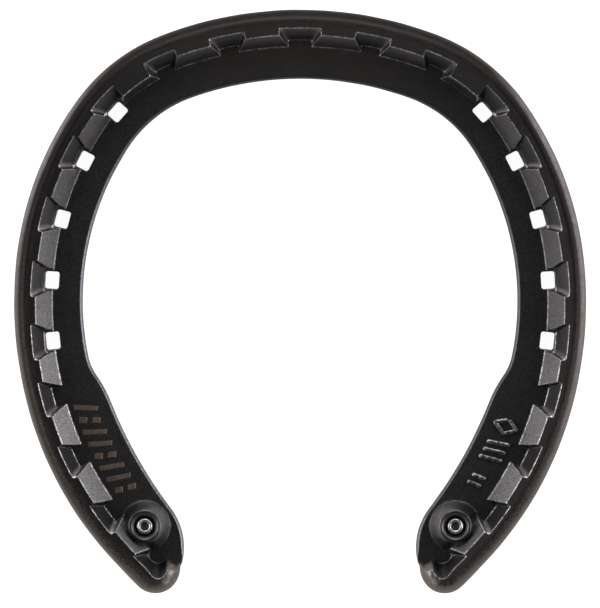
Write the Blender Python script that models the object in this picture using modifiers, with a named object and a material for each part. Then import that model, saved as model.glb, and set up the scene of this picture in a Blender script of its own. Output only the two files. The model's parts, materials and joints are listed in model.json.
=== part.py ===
"""Steel horseshoe with a toothed ground rim and a hard-pin stud pressed into each heel.

Frame: ground side up.  +Z points from the hoof side to the ground side, +Y points to the toe and X runs
across the shoe.  The hoof side lies flat on z = 0, and the origin is under the centre of the bounding box.
The body is symmetric about x = 0, so one half is modelled and mirrored.
"""

import math

import bmesh
import bpy
from mathutils import Vector

MM = 0.001

# ---------------------------------------------------------------- driving dimensions (millimetres, degrees)
WEB_T = 3.0  # thickness of the flat web that lies on the hoof
RIM_H = 8.0  # height of the ground rim above the hoof side

# Half outline, walked from the toe to the heel as tangent arcs of (radius, angle); a minus radius bends outwards.
TOE_Y_OUTER = 66.35
OUTER_ARCS = ((88.2, 20.7), (43.0, 34.1), (75.9, 29.2), (91.5, 22.4), (82.1, 32.4), (5.7, 131.0))
TOE_Y_INNER = 50.6
INNER_ARCS = ((73.0, 20.0), (28.2, 36.4), (63.5, 45.1), (11.2, 23.6), (-31.0, 13.5), (100.6, 15.7), (-14.6, 53.2))

# Outer wall of the rim: (inset from the outline, height), from the hoof side to the flat on top of the rim.
RIM_WALL = ((0.0, 0.0), (0.0, 1.6), (0.75, 5.7), (1.1, 6.95), (1.75, 7.72), (2.6, 8.0))
RIM_KEEL = 1.9  # how far the rim's own underside reaches in from the outline, below the web

# Notches between the teeth, along the outline from the toe.
TOE_NOTCH = (10.2, 5.9)  # width on the rim's top, width at the web
NOTCH = (8.6, 4.8)
NOTCH_PITCH = (17.7, 17.2, 17.8, 15.6, 16.1, 15.8, 15.2, 13.9, 15.8, 16.1)
LAST_NOTCH_START = (172.8, 174.6)  # on the rim's top, at the web
TIP_RIM = ((172.8, 4.1), (176.4, 4.05), (179.8, 3.75), (182.6, 3.2), (185.2, 2.9), (190.8, 3.0))  # along, depth

# Depth from the outline of the top and foot of the notch and tooth faces: toe, nail holes, heel.
NOTCH_DEPTH = {"toe": (4.2, 6.9), "nail": (3.9, 7.1), "heel": (3.6, 6.2)}
TOOTH_DEPTH = {"toe": (5.8, 8.4), "nail": (5.0, 8.8), "heel": (4.8, 8.7)}
SHOULDER_TOOTH = 3  # the tooth between the toe and the first nail hole stands further in
SHOULDER_DEPTH = (7.4, 8.8)

# Nail holes: one at the foot of each of these notches, square with rounded corners.
NAIL_NOTCHES = (3, 4, 5, 6, 7)
NAIL_LONG, NAIL_WIDE, NAIL_CORNER = 3.9, 3.1, 0.55
NAIL_DEPTH = (8.95, 8.45)  # centre's distance from the outline, first hole and last hole

# Heel boss and stud.
BOSS_X, BOSS_Y = 35.3, -51.1
BOSS_BASE_R, BOSS_CREST_R, BOSS_CREST_Z = 5.8, 3.15, 6.9
BORE_R, BORE_FLOOR = 2.2, 0.9
SLEEVE_R, SLEEVE_BORE_R, SLEEVE_TOP = 1.9, 1.2, 6.3
PIN_R, PIN_TOP = 0.92, 6.1
FIT_GAP = 0.3

EDGE_CHAMFER = 0.8  # along the web's inner edge, ground side
STEP = 4.0  # longest facet along the outline
SAG = 0.03  # furthest a facet stands off a tight arc


# ---------------------------------------------------------------- the outline
class Outline:
    """A chain of tangent arcs from (0, start_y), first heading along +X and turning clockwise."""

    def __init__(self, start_y, arcs):
        self.pieces, self.length = [], 0.0
        p, heading = Vector((0.0, start_y)), 0.0
        for radius, angle in arcs:
            turn = math.radians(angle) * (1 if radius > 0 else -1)
            right = Vector((math.sin(heading), -math.cos(heading)))
            centre = p + right * radius
            self.pieces.append((self.length, centre, radius, heading, turn))
            self.length += abs(radius * turn)
            heading -= turn
            p = centre - Vector((math.sin(heading), -math.cos(heading))) * radius

    def at(self, a):
        """Point and inward (right-hand) normal at arc length a; a minus length lies across the centre line."""
        if a < 0:
            p, n = self.at(-a)
            return Vector((-p.x, p.y)), Vector((-n.x, n.y))
        start, centre, radius, heading, _ = [q for q in self.pieces if q[0] <= a + 1e-9][-1]
        h = heading - (a - start) / radius
        right = Vector((math.sin(h), -math.cos(h)))
        return centre - right * radius, right

    def inset(self, a, s):
        p, n = self.at(a)
        return p + n * s


outer = Outline(TOE_Y_OUTER, OUTER_ARCS)
inner = Outline(TOE_Y_INNER, INNER_ARCS)

tip_start, tip_centre, tip_r, tip_heading, _ = outer.pieces[-1]
TIP_A = tip_start + tip_r * (math.pi + tip_heading)  # arc length at the rearmost point of the heel
Y_SHIFT = -(TOE_Y_OUTER + outer.at(TIP_A)[0].y) / 2


def facet_length(radius):
    return min(STEP, math.sqrt(8 * abs(radius) * SAG))


def stations_along(outline):
    """Arc lengths that follow each arc of an outline in facets to suit its radius."""
    stations = [0.0]
    for start, _, radius, _, turn in outline.pieces:
        length = abs(radius * turn)
        n = math.ceil(length / facet_length(radius))
        stations += [start + length * (i + 1) / n for i in range(n)]
    return stations


def blend(stops, a):
    """Value at a between (a, value) stops, held beyond the ends."""
    if a <= stops[0][0]:
        return stops[0][1]
    for (a0, v0), (a1, v1) in zip(stops, stops[1:]):
        if a <= a1:
            return v0 + (v1 - v0) * (a - a0) / (a1 - a0)
    return stops[-1][1]


def place(p, z):
    return Vector((p.x * MM, (p.y + Y_SHIFT) * MM, z * MM))


# ---------------------------------------------------------------- stations along the rim
NOTCH_CENTRES = [0.0]
for pitch in NOTCH_PITCH:
    NOTCH_CENTRES.append(NOTCH_CENTRES[-1] + pitch)


def depth_at(table, a):
    """(top, foot) depth at arc length a, blended between the toe, nail and heel values."""
    stops = ((35.0, "toe"), (60.0, "nail"), (95.0, "nail"), (125.0, "heel"))
    return tuple(blend([(at, table[zone][i]) for at, zone in stops], a) for i in (0, 1))


def tooth_depth(index, a):
    return SHOULDER_DEPTH if index == SHOULDER_TOOTH else depth_at(TOOTH_DEPTH, a)


def rim_stations():
    """Columns (a on the outer wall, point on the rim's top edge, point at the web), from the toe to the heel tip."""
    columns = []

    def add(a_out, a_top, a_foot, depths):
        columns.append((a_out, outer.inset(a_top, depths[0]), outer.inset(a_foot, depths[1])))

    def span(begin, end, depths_of, skip_first=False):
        """Evenly spaced columns between two (out, top, foot) stations, both included."""
        count = max(1, math.ceil(max(e - b for b, e in zip(begin, end)) / STEP))
        for i in range(1 if skip_first else 0, count + 1):
            t = i / count
            a_out, a_top, a_foot = (b + (e - b) * t for b, e in zip(begin, end))
            add(a_out, a_top, a_foot, depths_of((a_top + a_foot) / 2))

    half_top, half_foot = TOE_NOTCH[0] / 2, TOE_NOTCH[1] / 2
    wall = 0.12  # half the step between the two columns of an end wall, where they run down the outer wall

    def edge(a_top, a_foot, side):
        return (a_top + side * wall, a_top, a_foot)

    # half of the toe notch, starting just across the centre line
    toe_end = edge(half_top, half_foot, -1)
    add(-2.0, -half_top / 2, -half_foot / 2, depth_at(NOTCH_DEPTH, 0))
    add(2.0, half_top / 2, half_foot / 2, depth_at(NOTCH_DEPTH, 0))
    add(*toe_end, depth_at(NOTCH_DEPTH, 0))
    start = edge(half_top, half_foot, +1)
    for index, centre in enumerate(NOTCH_CENTRES[1:], start=1):
        tops = (centre - NOTCH[0] / 2, centre + NOTCH[0] / 2)
        feet = (centre - NOTCH[1] / 2, centre + NOTCH[1] / 2)
        span(start, edge(tops[0], feet[0], -1), lambda a, i=index: tooth_depth(i, a))
        span(edge(tops[0], feet[0], +1), edge(tops[1], feet[1], -1), lambda a: depth_at(NOTCH_DEPTH, a))
        start = edge(tops[1], feet[1], +1)
    span(start, edge(*LAST_NOTCH_START, -1), lambda a: tooth_depth(11, a))

    # The last notch runs round the heel tip.  Its web edge is a small arc about a point inside the tip.
    turn_centre, turn_r = Vector((tip_centre.x - 0.7, tip_centre.y + 3.1)), 2.35
    first, last = math.radians(-15), math.radians(-140)
    begin, end = LAST_NOTCH_START[0], outer.length - 0.6
    shank = math.ceil((tip_start - begin) / 2.2)
    turn = math.ceil((end - tip_start) / facet_length(tip_r))
    stations = [begin + (tip_start - begin) * i / shank for i in range(shank)]
    stations += [tip_start + (end - tip_start) * i / turn for i in range(turn + 1)]
    for i, a in enumerate(stations):
        t = (a - begin) / (end - begin)
        angle = first + (last - first) * t
        foot = turn_centre + Vector((math.cos(angle), math.sin(angle))) * turn_r
        a_out = edge(*LAST_NOTCH_START, +1)[0] if i == 0 else a + 0.6 * t
        columns.append((a_out, outer.inset(a, blend(TIP_RIM, a)), foot))
    return columns


# ---------------------------------------------------------------- scene set-up and small helpers
for o in list(bpy.data.objects):
    bpy.data.objects.remove(o)

shoe = bpy.data.collections.new("horseshoe")
cutters = bpy.data.collections.new("horseshoe_cutters")
bpy.context.scene.collection.children.link(shoe)
bpy.context.scene.collection.children.link(cutters)


def material(name, colour, roughness, metallic):
    m = bpy.data.materials.new(name)
    m.use_nodes = True
    p = m.node_tree.nodes["Principled BSDF"]
    p.inputs["Base Color"].default_value = (*colour, 1.0)
    p.inputs["Roughness"].default_value = roughness
    p.inputs["Metallic"].default_value = metallic
    return m


def add_object(name, mesh, collection, mat=None):
    o = bpy.data.objects.new(name, mesh)
    collection.objects.link(o)
    if mat is not None:
        mesh.materials.append(mat)
    return o


def as_tool(o):
    """A shape that only cuts or joins another."""
    o.hide_render = True
    o.display_type = "WIRE"
    return o


def mesh_from(bm, name):
    bmesh.ops.recalc_face_normals(bm, faces=bm.faces)
    mesh = bpy.data.meshes.new(name)
    bm.to_mesh(mesh)
    bm.free()
    return mesh


def flat_curve(name, points, half_thickness):
    """A closed flat outline, filled and given thickness either side of z = 0."""
    curve = bpy.data.curves.new(name, "CURVE")
    curve.dimensions = "2D"
    curve.fill_mode = "BOTH"
    curve.extrude = half_thickness
    spline = curve.splines.new("POLY")
    spline.points.add(len(points) - 1)
    for point, p in zip(spline.points, points):
        point.co = (p.x, p.y, 0.0, 1.0)
    spline.use_cyclic_u = True
    return bpy.data.objects.new(name, curve)


def curve_to_mesh(curve_object, name, collection, z):
    """The curve as a welded mesh object, moved up by z."""
    collection.objects.link(curve_object)
    bpy.context.view_layer.update()
    graph = bpy.context.evaluated_depsgraph_get()
    mesh = bpy.data.meshes.new_from_object(curve_object.evaluated_get(graph))
    bm = bmesh.new()
    bm.from_mesh(mesh)
    bmesh.ops.remove_doubles(bm, verts=bm.verts, dist=0.00002)
    bmesh.ops.dissolve_faces(bm, faces=[f for f in bm.faces if f.normal.z > 0.9])
    bmesh.ops.dissolve_faces(bm, faces=[f for f in bm.faces if f.normal.z < -0.9])
    bmesh.ops.translate(bm, verts=bm.verts, vec=(0, 0, z))
    bpy.data.meshes.remove(mesh)
    bpy.data.objects.remove(curve_object)
    return add_object(name, mesh_from(bm, name), collection)


def turned(name, profile, collection, at, mat=None, steps=32):
    """A solid of revolution from (radius, height) points that run down the outside, closed on themselves or on the axis."""
    mesh = bpy.data.meshes.new(name)
    closed = profile[0][0] > 0
    edges = [(i, i + 1) for i in range(len(profile) - 1)] + ([(len(profile) - 1, 0)] if closed else [])
    mesh.from_pydata([(r * MM, 0, z * MM) for r, z in profile], edges, [])
    o = add_object(name, mesh, collection, mat)
    o.location = place(Vector(at), 0)
    screw = o.modifiers.new("turn", "SCREW")
    screw.axis = "Z"
    screw.steps = screw.render_steps = steps
    screw.use_merge_vertices = True
    screw.merge_threshold = 0.00001
    screw.use_smooth_shade = False
    return o


def boolean(o, other, operation):
    m = o.modifiers.new(f"{operation.lower()}_{other.name}", "BOOLEAN")
    m.operation = operation
    m.object = other
    return m


# ---------------------------------------------------------------- materials
blackened_steel = material("blackened_steel", (0.018, 0.017, 0.018), 0.42, 0.75)
sleeve_steel = material("bright_steel", (0.42, 0.41, 0.40), 0.32, 1.0)
carbide = material("carbide", (0.05, 0.05, 0.055), 0.45, 0.9)

# ---------------------------------------------------------------- the web: a flat plate under the whole shoe
web_points = []
count = math.ceil(outer.length / STEP)
for i in range(count + 1):
    a = -2.0 + (outer.length - 0.4 + 2.0) * i / count
    fade = min(1.0, max(0.0, (outer.length - a) / 6.0))
    web_points.append(outer.inset(a, 0.08 + 1.42 * fade))
inner_points = [inner.inset(a, 0.0) for a in [-1.6] + [a for a in stations_along(inner) if a > 0.8]]
web_outline = [place(p, 0) for p in web_points + inner_points[::-1]]
body = curve_to_mesh(flat_curve("web", web_outline, WEB_T / 2 * MM), "shoe_body", shoe, WEB_T / 2 * MM)
body.data.materials.append(blackened_steel)

inner_xy = [place(p, 0) for p in inner_points]
weights = body.data.attributes.new("bevel_weight_edge", "FLOAT", "EDGE")
for e in body.data.edges:
    ends = [body.data.vertices[i].co for i in e.vertices]
    on_top = all(abs(v.z - WEB_T * MM) < 1e-6 for v in ends)
    inside = all(min((v.xy - q.xy).length for q in inner_xy) < 1e-6 for v in ends)
    weights.data[e.index].value = 1.0 if on_top and inside else 0.0
chamfer = body.modifiers.new("inner_edge_chamfer", "BEVEL")
chamfer.limit_method = "WEIGHT"
chamfer.width = EDGE_CHAMFER * MM
chamfer.segments = 1

# ---------------------------------------------------------------- the toothed rim: one loft along the outline
bm = bmesh.new()
rings = []
for a_out, top, foot in rim_stations():
    buried = foot + (foot - top) * 0.12
    section = [(outer.inset(a_out, s), z) for s, z in RIM_WALL]
    section += [(top, RIM_H), (foot, WEB_T), (buried, WEB_T - 0.12 * (RIM_H - WEB_T)), (outer.inset(a_out, RIM_KEEL), 0.0)]
    rings.append([bm.verts.new(place(p, z)) for p, z in section])
for one, two in zip(rings, rings[1:]):
    for j in range(len(one)):
        k = (j + 1) % len(one)
        bm.faces.new((one[j], one[k], two[k], two[j]))
bm.faces.new(rings[0][::-1])
bm.faces.new(rings[-1])
bmesh.ops.triangulate(bm, faces=bm.faces)
rim = as_tool(add_object("rim_loft", mesh_from(bm, "rim_loft"), cutters))
boolean(body, rim, "UNION")

# ---------------------------------------------------------------- the heel boss with its crater, and the stud's bore
crater_z = BOSS_CREST_Z - 2.1
boss_profile = [
    (0.0, crater_z), (BORE_R + 0.15, crater_z), (BOSS_CREST_R - 0.3, BOSS_CREST_Z - 0.2), (BOSS_CREST_R, BOSS_CREST_Z),
    (BOSS_CREST_R + 0.45, BOSS_CREST_Z - 0.25), (BOSS_BASE_R - 0.25, WEB_T + 0.35), (BOSS_BASE_R, WEB_T),
    (BOSS_BASE_R + 0.2, WEB_T - 0.7), (0.0, WEB_T - 0.7),
]
boss = as_tool(turned("boss_turning", boss_profile, cutters, (BOSS_X, BOSS_Y)))
boolean(body, boss, "UNION")
bore_profile = [(0.0, RIM_H + 1), (BORE_R, RIM_H + 1), (BORE_R, BORE_FLOOR), (0.0, BORE_FLOOR)]
bore = as_tool(turned("stud_bore", bore_profile, cutters, (BOSS_X, BOSS_Y)))
boolean(body, bore, "DIFFERENCE")

# ---------------------------------------------------------------- nail holes
for n, index in enumerate(NAIL_NOTCHES):
    t = n / (len(NAIL_NOTCHES) - 1)
    a, s = NOTCH_CENTRES[index], NAIL_DEPTH[0] + (NAIL_DEPTH[1] - NAIL_DEPTH[0]) * t
    centre, (_, normal) = outer.inset(a, s), outer.at(a)
    bm = bmesh.new()
    bmesh.ops.create_cube(bm, size=1.0)
    bmesh.ops.scale(bm, verts=bm.verts, vec=(NAIL_LONG * MM, NAIL_WIDE * MM, 12 * MM))
    upright = [e for e in bm.edges if abs(e.verts[0].co.z - e.verts[1].co.z) > 1e-3]
    bmesh.ops.bevel(bm, geom=upright, offset=NAIL_CORNER * MM, segments=3, profile=0.5, affect="EDGES")
    punch = as_tool(add_object(f"nail_punch_{n + 1}", mesh_from(bm, f"nail_punch_{n + 1}"), cutters))
    punch.location = place(centre, 3.0)
    punch.rotation_euler.z = math.atan2(normal.y, normal.x) - math.pi / 2
    boolean(body, punch, "DIFFERENCE")

# ---------------------------------------------------------------- the other half
mirror = body.modifiers.new("other_half", "MIRROR")
mirror.use_axis[0] = True
mirror.use_bisect_axis[0] = True
mirror.use_clip = True
mirror.merge_threshold = 0.00001

# ---------------------------------------------------------------- studs: a steel sleeve round a carbide pin
stud_floor = BORE_FLOOR + FIT_GAP
for side, sign in (("left", -1), ("right", 1)):
    at = (BOSS_X * sign, BOSS_Y)
    turned(
        f"stud_sleeve_{side}",
        [(SLEEVE_BORE_R, SLEEVE_TOP), (SLEEVE_R - 0.3, SLEEVE_TOP), (SLEEVE_R, SLEEVE_TOP - 0.35),
         (SLEEVE_R, stud_floor), (SLEEVE_BORE_R, stud_floor)],
        shoe, at, sleeve_steel,
    )
    turned(
        f"carbide_pin_{side}",
        [(0.0, PIN_TOP), (PIN_R - 0.3, PIN_TOP - 0.04), (PIN_R, PIN_TOP - 0.25), (PIN_R, stud_floor + 0.2), (0.0, stud_floor + 0.2)],
        shoe, at, carbide,
    )
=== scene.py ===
import json
import math

import bmesh
import bpy
import numpy as np
from mathutils import Matrix, Vector, kdtree, noise

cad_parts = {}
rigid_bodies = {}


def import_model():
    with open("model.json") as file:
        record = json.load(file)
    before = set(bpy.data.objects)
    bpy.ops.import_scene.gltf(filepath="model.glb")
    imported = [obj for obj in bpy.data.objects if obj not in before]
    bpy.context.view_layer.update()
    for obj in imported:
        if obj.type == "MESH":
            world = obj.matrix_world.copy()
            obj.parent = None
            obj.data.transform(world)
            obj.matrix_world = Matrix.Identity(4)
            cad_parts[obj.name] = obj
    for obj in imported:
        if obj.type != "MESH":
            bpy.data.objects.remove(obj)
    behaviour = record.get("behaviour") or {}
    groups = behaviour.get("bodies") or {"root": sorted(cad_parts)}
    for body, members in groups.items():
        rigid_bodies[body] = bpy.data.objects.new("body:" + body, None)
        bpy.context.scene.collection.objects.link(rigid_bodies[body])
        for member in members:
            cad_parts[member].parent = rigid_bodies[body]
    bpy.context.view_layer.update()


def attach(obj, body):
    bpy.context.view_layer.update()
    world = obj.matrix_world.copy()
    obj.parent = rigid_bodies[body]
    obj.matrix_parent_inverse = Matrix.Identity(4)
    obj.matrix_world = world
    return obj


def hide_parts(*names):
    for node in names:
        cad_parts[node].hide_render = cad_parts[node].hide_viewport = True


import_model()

MM = 0.001

# ------------------------------------------------------------------ the part's design constants (millimetres, degrees)
WEB_T, RIM_H = 3.0, 8.0
TOE_Y_OUTER, TOE_Y_INNER = 66.35, 50.6
OUTER_ARCS = ((88.2, 20.7), (43.0, 34.1), (75.9, 29.2), (91.5, 22.4), (82.1, 32.4), (5.7, 131.0))
INNER_ARCS = ((73.0, 20.0), (28.2, 36.4), (63.5, 45.1), (11.2, 23.6), (-31.0, 13.5), (100.6, 15.7), (-14.6, 53.2))
TOE_NOTCH, NOTCH = (10.2, 5.9), (8.6, 4.8)
NOTCH_PITCH = (17.7, 17.2, 17.8, 15.6, 16.1, 15.8, 15.2, 13.9, 15.8, 16.1)
LAST_NOTCH_START = (172.8, 174.6)
TIP_RIM = ((172.8, 4.1), (176.4, 4.05), (179.8, 3.75), (182.6, 3.2), (185.2, 2.9), (190.8, 3.0))
NOTCH_DEPTH = {"toe": (4.2, 6.9), "nail": (3.9, 7.1), "heel": (3.6, 6.2)}
TOOTH_DEPTH = {"toe": (5.8, 8.4), "nail": (5.0, 8.8), "heel": (4.8, 8.7)}
SHOULDER_TOOTH, SHOULDER_DEPTH = 3, (7.4, 8.8)
NAIL_NOTCHES = (3, 4, 5, 6, 7)
NAIL_LONG, NAIL_WIDE, NAIL_CORNER = 3.9, 3.1, 0.55
NAIL_DEPTH = (8.95, 8.45)
BOSS_X, BOSS_Y = 35.3, -51.1
BORE_R, BORE_FLOOR = 2.2, 0.9
SLEEVE_R, SLEEVE_BORE_R, SLEEVE_TOP, STUD_FLOOR = 1.9, 1.2, 6.3, 1.2
PIN_R, PIN_TOP = 0.92, 6.1
CHAMFER = 0.62


class Outline:
    """A chain of tangent arcs from (0, start_y), first heading along +X and turning clockwise."""

    def __init__(self, start_y, arcs):
        self.pieces, self.length = [], 0.0
        p, heading = np.array((0.0, start_y)), 0.0
        for radius, angle in arcs:
            turn = math.radians(angle) * (1 if radius > 0 else -1)
            centre = p + np.array((math.sin(heading), -math.cos(heading))) * radius
            self.pieces.append((self.length, centre, radius, heading))
            self.length += abs(radius * turn)
            heading -= turn
            p = centre - np.array((math.sin(heading), -math.cos(heading))) * radius

    def at(self, a):
        if a < 0:
            p, n = self.at(-a)
            return p * (-1, 1), n * (-1, 1)
        start, centre, radius, heading = [q for q in self.pieces if q[0] <= a + 1e-9][-1]
        h = heading - (a - start) / radius
        n = np.array((math.sin(h), -math.cos(h)))
        return centre - n * radius, n

    def inset(self, a, s):
        p, n = self.at(a)
        return p + n * s


outer, inner = Outline(TOE_Y_OUTER, OUTER_ARCS), Outline(TOE_Y_INNER, INNER_ARCS)
tip_start, tip_centre, tip_r, tip_heading = outer.pieces[-1]
TIP_A = tip_start + tip_r * (math.pi + tip_heading)
Y_SHIFT = -(TOE_Y_OUTER + outer.at(TIP_A)[0][1]) / 2
END = outer.length

# Where a line square across the web from arc length a on the outside meets the inside edge.
ACROSS = ((-10, -8.2), (0, 0), (10, 8.2), (20, 16.44), (35, 28.16), (50, 37.68), (60, 44.41), (80, 60.23), (95, 72.13), (110, 84.51),
          (125, 96.95), (140, 109.11), (150, 116.84), (160, 124.2), (168, 129.9), (175, 134.6), (181, 138.6), (186, 141.9), (191.37, 145.9))


def stops(table, a):
    return float(np.interp(a, [q[0] for q in table], [q[1] for q in table]))


def depths(table, a):
    at = (35.0, 60.0, 95.0, 125.0)
    return np.array([np.interp(a, at, [table[z][i] for z in ("toe", "nail", "nail", "heel")]) for i in (0, 1)])


# ------------------------------------------------------------------ columns across the shoe, from the toe to the heel tip
column_a = []
columns = []  # (a on the outer wall, direction the wall is inset along, top-edge point, foot point, inside arc length, rim height, kind)


def column(a_out, top, foot, a_in, kind, height=RIM_H, along=None):
    p, n = outer.at(a_out)
    column_a.append(a_out)
    columns.append((p, n if along is None else along, np.array(top), np.array(foot), stops(ACROSS, a_in), height, kind))


def spread(length, step=0.85, fine=(0.14, 0.34, 0.7)):
    """Stations over a span: close together next to both ends, then evenly."""
    fine = [f for f in fine if f < length * 0.4]
    last = fine[-1] if fine else 0.0
    n = max(1, round((length - 2 * last) / step))
    mid = [last + (length - 2 * last) * i / n for i in range(n + 1)]
    return [0.0] + fine[:-1] + mid + [length - f for f in fine[:-1]][::-1] + [length]


WALL_COLUMNS = 6
LEAN = 0.8


def span(tops, feet, depths_of, kind, start_wall, end_wall, skip_first=False):
    """Columns over one notch or tooth.  start_wall and end_wall are +1 where a wall stands at that end."""
    length = tops[1] - tops[0]
    for i, u in enumerate(spread(length)):
        if skip_first and i == 0:
            continue
        t = u / length
        a_top, a_foot = tops[0] + u, feet[0] + (feet[1] - feet[0]) * t
        d = depths_of((a_top + a_foot) / 2)
        a_out, a_in = a_top, a_foot
        near0, near1 = max(0.0, 1 - u / 2.2), max(0.0, 1 - (length - u) / 2.2)
        if kind == "tooth":
            a_out += LEAN * (near0 * start_wall - near1 * end_wall)
        else:
            a_in += 0.55 * LEAN * (near0 * start_wall - near1 * end_wall)
        column(a_out, outer.inset(a_top, d[0]), outer.inset(a_foot, d[1]), a_in, kind)


def wall(a_top, a_foot, notch, tooth, to_tooth):
    """Columns down one end wall of a tooth, between the notch's last column and the tooth's first."""
    for k in range(1, WALL_COLUMNS):
        t = k / WALL_COLUMNS if to_tooth else 1 - k / WALL_COLUMNS
        d = notch + (tooth - notch) * t
        side = 1 if to_tooth else -1
        column(a_top + side * LEAN * t, outer.inset(a_top, d[0]), outer.inset(a_foot, d[1]), a_foot - side * 0.55 * LEAN * (1 - t), "wall")


def middle(a_top, a_foot):
    return (a_top + a_foot) / 2


def notch_depth(a):
    return depths(NOTCH_DEPTH, a)


def tooth_depth(index, a):
    return np.array(SHOULDER_DEPTH) if index == SHOULDER_TOOTH else depths(TOOTH_DEPTH, a)


half_top, half_foot = TOE_NOTCH[0] / 2, TOE_NOTCH[1] / 2
for u in [0.0, 0.85, 1.7, 2.6, 3.5] + [half_top - f for f in (0.7, 0.34, 0.14, 0.0)]:
    t = u / half_top
    near = max(0.0, 1 - (half_top - u) / 2.2)
    d = notch_depth(0.0)
    column(u, outer.inset(u, d[0]), outer.inset(half_foot * t, d[1]), half_foot * t - 0.55 * LEAN * near, "notch")
centre, a0, f0 = 0.0, half_top, half_foot
wall(a0, f0, notch_depth(middle(a0, f0)), tooth_depth(1, middle(a0, f0)), True)
for index, pitch in enumerate(NOTCH_PITCH, start=1):
    centre += pitch
    a1, f1 = centre - NOTCH[0] / 2, centre - NOTCH[1] / 2
    a2, f2 = centre + NOTCH[0] / 2, centre + NOTCH[1] / 2
    span((a0, a1), (f0, f1), lambda a, i=index: tooth_depth(i, a), "tooth", 1, 1)
    wall(a1, f1, notch_depth(middle(a1, f1)), tooth_depth(index, middle(a1, f1)), False)
    span((a1, a2), (f1, f2), notch_depth, "notch", 1, 1)
    wall(a2, f2, notch_depth(middle(a2, f2)), tooth_depth(index + 1, middle(a2, f2)), True)
    a0, f0 = a2, f2
a1, f1 = LAST_NOTCH_START
span((a0, a1), (f0, f1), lambda a: tooth_depth(11, a), "tooth", 1, 1)

# The last notch runs round the heel tip; its foot is a small arc, and the rim ends in a slope on the inner side.
turn_centre, turn_r = tip_centre + np.array((-0.7, 3.1)), 2.35
first_angle, last_angle = math.radians(-15), math.radians(-140)
cap_start = 190.0


def tip_foot(t):
    angle = first_angle + (last_angle - first_angle) * t
    return turn_centre + np.array((math.cos(angle), math.sin(angle))) * turn_r


tooth_end = tooth_depth(11, middle(a1, f1))
notch_top, notch_foot = outer.inset(a1, stops(TIP_RIM, a1)), tip_foot(0.0)
for k in range(1, WALL_COLUMNS):
    t = k / WALL_COLUMNS
    top = outer.inset(a1, tooth_end[0]) * (1 - t) + notch_top * t
    foot = outer.inset(f1, tooth_end[1]) * (1 - t) + notch_foot * t
    column(a1 - LEAN * (1 - t), top, foot, f1 + 0.4 * LEAN * t, "wall")
stations = [a1 + f for f in (0.0, 0.14, 0.34, 0.7)] + list(np.arange(a1 + 1.3, 179.0, 0.75)) + list(np.arange(179.0, cap_start, 0.42)) + [cap_start]
for a in stations:
    t = (a - a1) / (cap_start - a1)
    t_foot = t ** 1.0
    column(a, outer.inset(a, stops(TIP_RIM, a)), tip_foot(t_foot), max(f1 + 0.4 * LEAN, a1 + (a - a1)), "tip")
end_point, foot_end = outer.at(END)[0], tip_foot(1.0)
close = (foot_end - end_point) / np.linalg.norm(foot_end - end_point)
n_cap = 8
for k in range(1, n_cap + 1):
    t = k / n_cap
    a = cap_start + (END - cap_start) * t
    p, n = outer.at(a)
    along = n * (1 - t) + close * t
    along /= np.linalg.norm(along)
    drop = t * t * (3 - 2 * t) * 0.35 + 0.65 * t
    column(a, p + along * 3.0, foot_end, a, "cap", RIM_H + (WEB_T - RIM_H) * drop, along)

# ------------------------------------------------------------------ rows round the section


def through(points, steps):
    """A smooth curve through the points."""
    p = np.array(points, float)
    out = []
    for i in range(len(p) - 1):
        p0, p1, p2, p3 = p[max(i - 1, 0)], p[i], p[i + 1], p[min(i + 2, len(p) - 1)]
        for j in range(steps[i]):
            t = j / steps[i]
            out.append(0.5 * (2 * p1 + (p2 - p0) * t + (2 * p0 - 5 * p1 + 4 * p2 - p3) * t * t + (3 * p1 - p0 - 3 * p2 + p3) * t ** 3))
    out.append(p[-1])
    return out


OUTER_WALL = [(0.3, 0.0), (0.14, 0.03), (0.04, 0.12), (0.0, 0.3)]
OUTER_WALL += through(((0.0, 0.9), (0.2, 3.0), (0.58, 5.15), (1.1, 6.62), (1.82, 7.6), (2.8, 8.0)), (4, 4, 4, 5, 5))
n_wall = len(OUTER_WALL)
RIM_BEFORE = (0.55, 0.28, 0.12)
FACE_NEAR = (0.1, 0.24, 0.46)
WEB_NEAR = (0.14, 0.32, 0.6, 1.1)


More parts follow.
